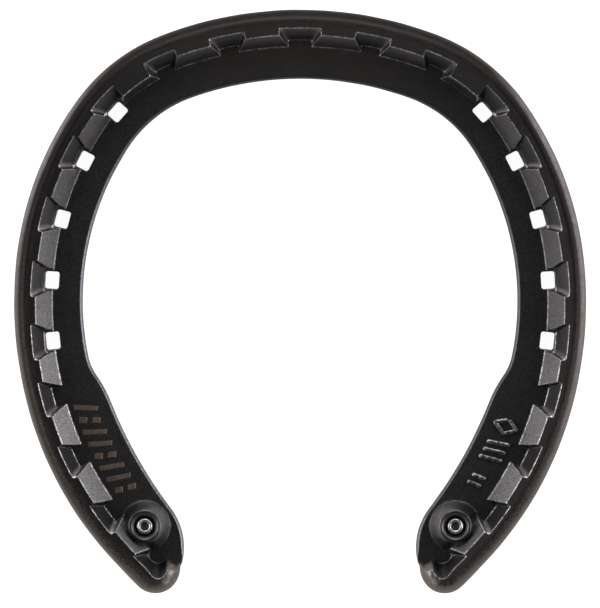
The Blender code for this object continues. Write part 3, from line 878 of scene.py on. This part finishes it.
MARK_A, MARK_S = (133.0, 160.5), (9.9, 15.2)
strokes = []
for i in range(8):
    a = MARK_A[0] + 3.45 * i
    if i % 3 == 1:  # a stacked pair of short bars
        strokes.append(stroke(a + 0.1, MARK_S[0] + 0.3, a + 0.95, MARK_S[0] + 2.0, 1.5, -1, 0.014))
        strokes.append(stroke(a + 1.35, MARK_S[1] - 2.1, a + 2.2, MARK_S[1] - 0.4, 1.5, -1, 0.014))
    else:
        strokes.append(stroke(a, MARK_S[0], a + 2.3, MARK_S[1], 1.25, -1, 0.014))
etched = joined(strokes, "etched_bars")

beads = []


def web_path(points, side=1):
    return [on_web(a, s, side) for a, s in points]


for at in ((139.6, 12.9),):  # a diamond
    corners = [(at[0] - 2.0, at[1]), (at[0], at[1] + 2.7), (at[0] + 2.0, at[1]), (at[0], at[1] - 2.7), (at[0] - 2.0, at[1])]
    beads.append(bead(web_path(corners), 1.05, 0.58))
for a in (143.8, 146.1, 148.4):
    beads.append(bead(web_path([(a, 10.2), (a + 0.5, 12.0), (a + 1.0, 13.8), (a + 1.6, 15.8)]), 1.1, 0.6))
for a in (154.6, 156.9):
    beads.append(bead(web_path([(a, 11.4), (a + 0.4, 13.0), (a + 0.9, 15.0)]), 1.1, 0.58))
tally = joined(beads, "forged_tally")
layer = tally.data.attributes.new("worn", "FLOAT", "POINT")
layer.data.foreach_set("value", [0.5 + 0.5 * noise.noise(v.co / 0.0007) for v in tally.data.vertices])

# ------------------------------------------------------------------ materials
class Nodes:
    """Short hands for a material's node tree."""

    def __init__(self, name):
        self.material = bpy.data.materials.new(name)
        self.material.use_nodes = True
        self.tree = self.material.node_tree
        self.shader = self.tree.nodes["Principled BSDF"]
        self.coords = self.tree.nodes.new("ShaderNodeTexCoord").outputs["Object"]

    def link(self, a, b):
        self.tree.links.new(a, b)

    def noise(self, scale, detail=4.0, rough=0.6, stretch=None, distortion=0.0):
        n = self.tree.nodes.new("ShaderNodeTexNoise")
        n.inputs["Scale"].default_value = scale
        n.inputs["Detail"].default_value = detail
        n.inputs["Roughness"].default_value = rough
        n.inputs["Distortion"].default_value = distortion
        if stretch is None:
            self.link(self.coords, n.inputs["Vector"])
        else:
            m = self.tree.nodes.new("ShaderNodeMapping")
            m.inputs["Scale"].default_value = stretch
            self.link(self.coords, m.inputs["Vector"])
            self.link(m.outputs["Vector"], n.inputs["Vector"])
        return n.outputs["Fac"]

    def voronoi(self, scale, feature="F1"):
        n = self.tree.nodes.new("ShaderNodeTexVoronoi")
        n.feature = feature
        n.inputs["Scale"].default_value = scale
        self.link(self.coords, n.inputs["Vector"])
        return n.outputs["Distance"]

    def attribute(self, name):
        n = self.tree.nodes.new("ShaderNodeAttribute")
        n.attribute_name = name
        return n.outputs["Fac"]

    def ramp(self, fac, points):
        n = self.tree.nodes.new("ShaderNodeValToRGB")
        e = n.color_ramp.elements
        while len(e) < len(points):
            e.new(0.5)
        for q, (at, c) in zip(e, points):
            q.position = at
            q.color = (c, c, c, 1) if isinstance(c, (int, float)) else (*c, 1)
        self.link(fac, n.inputs["Fac"])
        return n.outputs["Color"]

    def math(self, operation, a, b=None, clamp=False):
        n = self.tree.nodes.new("ShaderNodeMath")
        n.operation, n.use_clamp = operation, clamp
        for socket, v in zip(n.inputs, (a, b)):
            if v is None:
                continue
            if isinstance(v, (int, float)):
                socket.default_value = v
            else:
                self.link(v, socket)
        return n.outputs[0]

    def mix(self, fac, a, b):
        n = self.tree.nodes.new("ShaderNodeMix")
        n.data_type = "RGBA"
        for key, v in ((0, fac), (6, a), (7, b)):
            if isinstance(v, (int, float)):
                n.inputs[key].default_value = v
            elif isinstance(v, tuple):
                n.inputs[key].default_value = (*v, 1)
            else:
                self.link(v, n.inputs[key])
        return n.outputs[2]

    def bump(self, heights):
        """Chained bumps from (height, strength, distance in metres)."""
        last = None
        for height, strength, distance in heights:
            n = self.tree.nodes.new("ShaderNodeBump")
            n.inputs["Strength"].default_value = strength
            n.inputs["Distance"].default_value = distance
            self.link(height, n.inputs["Height"])
            if last is not None:
                self.link(last, n.inputs["Normal"])
            last = n.outputs["Normal"]
        self.link(last, self.shader.inputs["Normal"])


def blackened_steel():
    m = Nodes("blackened_steel")
    p = m.shader
    p.inputs["Metallic"].default_value = 0.92
    worn, tooth, notch, line, lip, shade, band, fall, rim, heel, chamfer, tone, crater_painted_light, nub_painted_highlight, glow, toe, rim_light, toe_painted_light, flank = (m.attribute(k) for k in (
        "worn", "tooth_face_light", "notch_face_shade", "edge_painted_highlight", "wall_painted_highlight", "wall_shade", "outer_band", "band_painted_shade", "rim_top_shade",
        "heel_band_reflection", "chamfered", "chamfer_painted_light", "crater_painted_light", "nub_painted_highlight", "band_glow", "toe_band_shade", "rim_light", "toe_painted_light", "boss_flank_shade"))
    broad, cloud, fine, grain, grit = m.noise(90, 5, 0.6), m.noise(420, 4, 0.6), m.noise(1500, 5, 0.68), m.noise(3500, 2, 0.6), m.noise(5200, 3, 0.65)
    speck = m.ramp(grain, ((0.38, 0.0), (0.64, 1.0)))
    base = m.mix(m.ramp(broad, ((0.3, 0.0), (0.7, 1.0))), (0.047, 0.044, 0.046), (0.062, 0.059, 0.059))
    base = m.mix(m.math("MULTIPLY", speck, 0.55), base, (0.130, 0.122, 0.130))
    # Painted light near the toe.
    base = m.mix(m.math("MULTIPLY", toe_painted_light, 0.55), base, (0.098, 0.094, 0.085))
    # Painted highlight on the right branch's rim top.
    base = m.mix(m.math("MULTIPLY", rim_light, 0.45), base, (0.135, 0.128, 0.130))
    # Painted shade on the left branch's rim top.
    base = m.mix(m.math("MULTIPLY", rim, 0.55), base, (0.030, 0.028, 0.029))
    # Tooth faces lightened by the painted light mask, with the grain speckle mixed in.
    base = m.mix(m.math("MULTIPLY", tooth, m.math("ADD", m.math("MULTIPLY", speck, 0.65), 0.22)), base, (0.33, 0.32, 0.335))
    # Painted shade on the notch faces.
    base = m.mix(m.math("MULTIPLY", notch, 0.75), base, (0.030, 0.028, 0.030))
    # The outer wall band in a lighter warm brown with a random mottle: painted reflection of the warm side light on the
    # rounded outer wall.
    edge = m.mix(m.ramp(cloud, ((0.3, 0.0), (0.7, 1.0))), (0.066, 0.057, 0.054), (0.108, 0.093, 0.087))
    edge = m.mix(m.math("MULTIPLY", speck, 0.6), edge, (0.165, 0.142, 0.133))
    base = m.mix(m.math("MULTIPLY", band, 0.9), base, edge)
    # Painted shade on the outer band round the toe.
    base = m.mix(m.math("MULTIPLY", toe, 0.5), base, (0.026, 0.023, 0.022))
    # Painted shade over the rounding of the outer band.
    base = m.mix(m.math("MULTIPLY", fall, 0.96), base, (0.0065, 0.0060, 0.0062))
    # Painted highlight on the outer band, broken up by noise.
    base = m.mix(m.math("MULTIPLY", m.math("MULTIPLY", glow, m.ramp(cloud, ((0.3, 0.6), (0.65, 1.0)))), m.ramp(grain, ((0.34, 0.35), (0.62, 1.0)))), base, (0.36, 0.34, 0.34))
    # Painted reflection of warm light as beige speckle on the heel band.
    heel_reflection = m.math("MULTIPLY", heel, m.ramp(grain, ((0.36, 0.0), (0.66, 1.0))))
    base = m.mix(m.math("MULTIPLY", heel_reflection, 0.6), base, (0.24, 0.212, 0.185))
    base = m.mix(m.math("MULTIPLY", shade, 0.8), base, (0.024, 0.022, 0.023))
    # Painted highlight on the toe-facing walls.
    base = m.mix(m.math("MULTIPLY", lip, m.ramp(fine, ((0.25, 0.45), (0.6, 1.0)))), base, (0.50, 0.46, 0.43))
    # Painted shade with a cool tint over the whole inner chamfer, then a pale lavender painted highlight by position.
    base = m.mix(m.math("MULTIPLY", chamfer, 0.85), base, (0.036, 0.036, 0.041))
    base = m.mix(m.math("MULTIPLY", tone, m.ramp(fine, ((0.35, 0.45), (0.6, 1.0)))), base, (0.24, 0.24, 0.285))
    # Painted shade on the outer flank of each boss.
    base = m.mix(m.math("MULTIPLY", flank, 0.75), base, (0.026, 0.025, 0.027))
    # Painted light: the boss crater round each stud is lightened to grey.
    base = m.mix(m.math("MULTIPLY", crater_painted_light, 0.55), base, (0.16, 0.155, 0.157))
    # Painted highlight: pale streaks on the nub at each heel tip.
    streak = m.ramp(m.noise(2400, 3, 0.6, stretch=(1.0, 0.22, 1.0)), ((0.40, 0.12), (0.60, 1.0)))
    base = m.mix(m.math("MULTIPLY", nub_painted_highlight, m.math("MULTIPLY", streak, 0.75)), base, (0.46, 0.43, 0.41))
    # Painted highlight lines along the face edges, broken up by noise.
    glint = m.math("MULTIPLY", line, m.ramp(fine, ((0.42, 0.06), (0.58, 1.0))))
    glint = m.math("MULTIPLY", glint, m.ramp(cloud, ((0.38, 0.3), (0.58, 1.0))))
    base = m.mix(glint, base, (0.70, 0.67, 0.71))
    wear = m.math("MULTIPLY", m.ramp(worn, ((0.25, 0.0), (0.75, 1.0))), m.ramp(fine, ((0.36, 0.1), (0.62, 0.9))))
    wear = m.math("MULTIPLY", wear, m.math("SUBTRACT", 1.0, m.math("MULTIPLY", band, 0.9)))
    colour = m.mix(wear, base, (0.50, 0.48, 0.50))
    m.link(colour, p.inputs["Base Color"])
    rough = m.math("ADD", m.math("MULTIPLY", fine, 0.16), 0.25)
    rough = m.math("ADD", rough, m.math("MULTIPLY", cloud, 0.08))
    rough = m.math("ADD", rough, m.math("MULTIPLY", tooth, 0.12))
    rough = m.math("ADD", rough, m.math("MULTIPLY", band, 0.12), True)
    m.link(rough, p.inputs["Roughness"])
    rim_light = m.mix(m.math("MULTIPLY", band, 0.8), (1.0, 1.0, 1.0), (0.34, 0.31, 0.30))
    m.link(m.mix(m.math("MULTIPLY", toe, 0.8), rim_light, (0.16, 0.15, 0.15)), p.inputs["Specular Tint"])
    m.bump(((cloud, 0.45, 0.00012), (fine, 0.45, 0.00007), (grain, 0.75, 0.00005), (grit, 0.4, 0.00002)))
    return m.material


def laser_mark():
    m = Nodes("laser_mark")
    p = m.shader
    p.inputs["Metallic"].default_value = 0.35
    fine, grit = m.noise(1400, 4, 0.6), m.noise(5200, 3, 0.6)
    tone = m.mix(m.ramp(fine, ((0.3, 0.0), (0.7, 1.0))), (0.050, 0.036, 0.027), (0.105, 0.078, 0.060))
    m.link(m.mix(m.math("MULTIPLY", m.ramp(grit, ((0.4, 0.0), (0.65, 1.0))), 0.4), tone, (0.15, 0.115, 0.09)), p.inputs["Base Color"])
    m.link(m.math("ADD", m.math("MULTIPLY", fine, 0.2), 0.45), p.inputs["Roughness"])
    m.bump(((fine, 0.3, 0.00003), (grit, 0.4, 0.00002)))
    return m.material


def stud_steel():
    m = Nodes("stud_steel")
    p = m.shader
    p.inputs["Metallic"].default_value = 1.0
    fine, grit = m.noise(1500, 4, 0.6), m.noise(6000, 3, 0.6)
    m.link(m.mix(m.ramp(fine, ((0.3, 0.0), (0.7, 1.0))), (0.50, 0.485, 0.46), (0.86, 0.84, 0.81)), p.inputs["Base Color"])
    m.link(m.math("ADD", m.math("MULTIPLY", fine, 0.25), 0.2), p.inputs["Roughness"])
    m.bump(((fine, 0.4, 0.00003), (grit, 0.3, 0.00001)))
    return m.material


def stud_carbide():
    m = Nodes("stud_carbide")
    p = m.shader
    p.inputs["Metallic"].default_value = 0.9
    fine, grit = m.noise(2500, 4, 0.6), m.noise(9000, 3, 0.6)
    m.link(m.mix(m.ramp(fine, ((0.3, 0.0), (0.7, 1.0))), (0.05, 0.048, 0.05), (0.11, 0.105, 0.105)), p.inputs["Base Color"])
    m.link(m.math("ADD", m.math("MULTIPLY", fine, 0.25), 0.35), p.inputs["Roughness"])
    m.bump(((fine, 0.5, 0.00003), (grit, 0.4, 0.00001)))
    return m.material


def floor_paint():
    m = Nodes("studio_floor")
    p = m.shader
    fine = m.noise(40, 4, 0.6)
    m.link(m.mix(m.ramp(fine, ((0.3, 0.0), (0.7, 1.0))), (0.36, 0.36, 0.36), (0.38, 0.38, 0.38)), p.inputs["Base Color"])
    p.inputs["Roughness"].default_value = 0.9
    p.inputs["Specular IOR Level"].default_value = 0.1
    p.inputs["Emission Color"].default_value = (1.0, 1.0, 1.0, 1)
    p.inputs["Emission Strength"].default_value = 0.96
    return m.material


steel, sleeve_steel, carbide = blackened_steel(), stud_steel(), stud_carbide()
body.data.materials.clear()
body.data.materials.append(steel)
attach(body, "root")
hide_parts("shoe_body")
for o, finish in ((etched, laser_mark()), (tally, steel)):
    o.data.polygons.foreach_set("use_smooth", [True] * len(o.data.polygons))
    o.data.materials.append(finish)
    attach(o, "root")
for side in (-1, 1):
    word = "right" if side > 0 else "left"
    sleeve, pin = stud(side)
    sleeve.data.materials.append(sleeve_steel)
    pin.data.materials.append(carbide)
    for o, node, slot in ((sleeve, "stud_sleeve_" + word, "stud_steel"), (pin, "carbide_pin_" + word, "stud_carbide")):
        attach(o, "root")
        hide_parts(node)

# ------------------------------------------------------------------ floor, light and camera
bm = bmesh.new()
bmesh.ops.create_grid(bm, x_segments=24, y_segments=24, size=6.0)
floor_mesh = bpy.data.meshes.new("studio_floor")
bm.to_mesh(floor_mesh)
bm.free()
floor_mesh.materials.append(floor_paint())
floor = bpy.data.objects.new("studio_floor", floor_mesh)
floor.location.z = -0.00002
bpy.context.scene.collection.objects.link(floor)


def softbox(name, position, target, size, watts, colour=(1, 1, 1)):
    data = bpy.data.lights.new(name, "AREA")
    data.shape, data.size, data.size_y = "RECTANGLE", size[0], size[1]
    data.energy, data.color = watts, colour
    o = bpy.data.objects.new(name, data)
    o.location = position
    o.rotation_euler = (Vector(target) - Vector(position)).to_track_quat("-Z", "Y").to_euler()
    bpy.context.scene.collection.objects.link(o)
    return o


softbox("softbox_left", (-0.85, 0.05, 0.36), (0, 0, 0), (0.8, 0.45), 7.0, (1.0, 0.985, 0.97))
softbox("softbox_right", (0.85, 0.05, 0.36), (0, 0, 0), (0.8, 0.45), 7.0, (1.0, 0.985, 0.97))
softbox("softbox_toe", (0.0, 0.9, 0.36), (0, 0, 0), (0.9, 0.45), 6.0, (0.98, 0.98, 1.0))

def studio_world():
    """A soft wall of light all round, low down, that is dim overhead and behind the heels."""
    world = bpy.data.worlds.new("studio")
    bpy.context.scene.world = world
    world.use_nodes = True
    t = world.node_tree
    back = t.nodes["Background"]
    split = t.nodes.new("ShaderNodeSeparateXYZ")
    t.links.new(t.nodes.new("ShaderNodeTexCoord").outputs["Generated"], split.inputs[0])
    up = t.nodes.new("ShaderNodeValToRGB")
    for q, (at, c) in zip([*up.color_ramp.elements, *(up.color_ramp.elements.new(0.5) for _ in range(3))], ((0.0, 1.0), (0.18, 1.0), (0.42, 0.75), (0.68, 0.10), (1.0, 0.025))):
        q.position, q.color = at, (c, c, c, 1)
    t.links.new(split.outputs["Z"], up.inputs["Fac"])
    side = t.nodes.new("ShaderNodeMapRange")
    side.inputs["From Min"].default_value, side.inputs["From Max"].default_value = -0.75, 0.1
    side.inputs["To Min"].default_value, side.inputs["To Max"].default_value = 0.35, 1.0
    t.links.new(split.outputs["Y"], side.inputs["Value"])
    both = t.nodes.new("ShaderNodeMath")
    both.operation = "MULTIPLY"
    t.links.new(up.outputs["Color"], both.inputs[0])
    t.links.new(side.outputs["Result"], both.inputs[1])
    back.inputs["Color"].default_value = (1.0, 1.0, 1.0, 1)
    t.links.new(both.outputs[0], back.inputs["Strength"])


studio_world()

scene = bpy.context.scene
scene.view_settings.view_transform = "Standard"
scene.view_settings.look = "None"
camera_data = bpy.data.cameras.new("camera")
camera_data.type, camera_data.lens, camera_data.sensor_width = "PERSP", 1200.0, 36.0
distance = 0.2275 * MM * 608 * camera_data.lens / camera_data.sensor_width
camera = bpy.data.objects.new("camera", camera_data)
camera.location = (-0.024 * MM, -0.783 * MM, 0.001 + distance)
camera.rotation_euler = (0, 0, math.radians(0.013))
camera_data.clip_start, camera_data.clip_end = 0.1, 20.0
bpy.context.scene.collection.objects.link(camera)
scene.camera = camera
